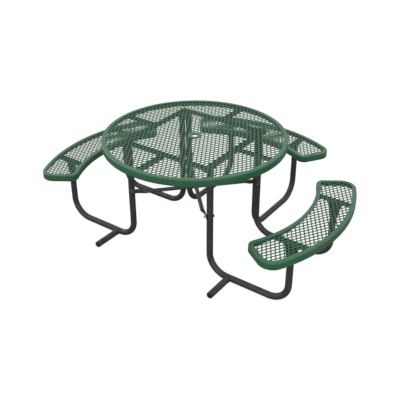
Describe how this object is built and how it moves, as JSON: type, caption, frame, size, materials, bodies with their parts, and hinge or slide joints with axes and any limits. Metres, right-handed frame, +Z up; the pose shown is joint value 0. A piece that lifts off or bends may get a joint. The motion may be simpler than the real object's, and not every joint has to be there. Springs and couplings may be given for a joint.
{
  "type": "picnic table",
  "caption": "Round picnic table of coated expanded steel with curved benches on bent tube legs, an umbrella hole and one side left open for a wheelchair.",
  "frame": {"origin": "on the floor, at the middle of the whole table's box in plan; the table top's own axis stands at y = -0.222 m", "axes": "+Z up; +X to the right bench and +Y to the back bench, as seen from the open side, which faces -Y"},
  "size_m": [2.056, 1.612, 0.762],
  "materials": {
    "top_coating": "thick green plastic dip coating on steel, smooth and half glossy",
    "seat_coating": "thick green plastic dip coating on steel, smooth and half glossy",
    "leg_paint": "black powder coat, fine texture, satin",
    "brace_paint": "black powder coat, fine texture, satin",
    "bolt_zinc": "bright zinc plating",
    "plug_plastic": "moulded black polyethylene, matt"
  },
  "bodies": {
    "root": {"brace_bolt_centre": "bolt_zinc", "brace_bolt_lower_back": "bolt_zinc", "brace_bolt_lower_front": "bolt_zinc", "brace_bolt_upper_back": "bolt_zinc", "brace_bolt_upper_front": "bolt_zinc", "brace_lower": "brace_paint", "brace_nut_centre": "bolt_zinc", "brace_nut_lower_back": "bolt_zinc", "brace_nut_lower_front": "bolt_zinc", "brace_nut_upper_back": "bolt_zinc", "brace_nut_upper_front": "bolt_zinc", "brace_upper": "brace_paint", "foot_left": "leg_paint", "foot_plug_left": "plug_plastic", "foot_plug_right": "plug_plastic", "foot_right": "leg_paint", "frame_bar_back": "top_coating", "frame_bar_front": "top_coating", "frame_bar_left": "top_coating", "frame_bar_right": "top_coating", "frame_spoke_back": "top_coating", "frame_spoke_front": "top_coating", "frame_spoke_left": "top_coating", "frame_spoke_right": "top_coating", "leg_back_left": "leg_paint", "leg_back_right": "leg_paint", "leg_left_back": "leg_paint", "leg_left_front": "leg_paint", "leg_plate_back_left": "leg_paint", "leg_plate_back_right": "leg_paint", "leg_plate_front_left": "leg_paint", "leg_plate_front_right": "leg_paint", "leg_right_back": "leg_paint", "leg_right_front": "leg_paint", "seat_back_bar_1": "seat_coating", "seat_back_bar_2": "seat_coating", "seat_back_mesh": "seat_coating", "seat_back_rim": "seat_coating", "seat_left_bar_1": "seat_coating", "seat_left_bar_2": "seat_coating", "seat_left_mesh": "seat_coating", "seat_left_rim": "seat_coating", "seat_plate_back_left": "leg_paint", "seat_plate_back_right": "leg_paint", "seat_plate_left_back": "leg_paint", "seat_plate_left_front": "leg_paint", "seat_plate_right_back": "leg_paint", "seat_plate_right_front": "leg_paint", "seat_right_bar_1": "seat_coating", "seat_right_bar_2": "seat_coating", "seat_right_mesh": "seat_coating", "seat_right_rim": "seat_coating", "table_bolt_back_left": "bolt_zinc", "table_bolt_back_right": "bolt_zinc", "table_bolt_front_left": "bolt_zinc", "table_bolt_front_right": "bolt_zinc", "top_mesh": "top_coating", "top_rim": "top_coating", "umbrella_collar": "top_coating"}
  },
  "joints": []
}
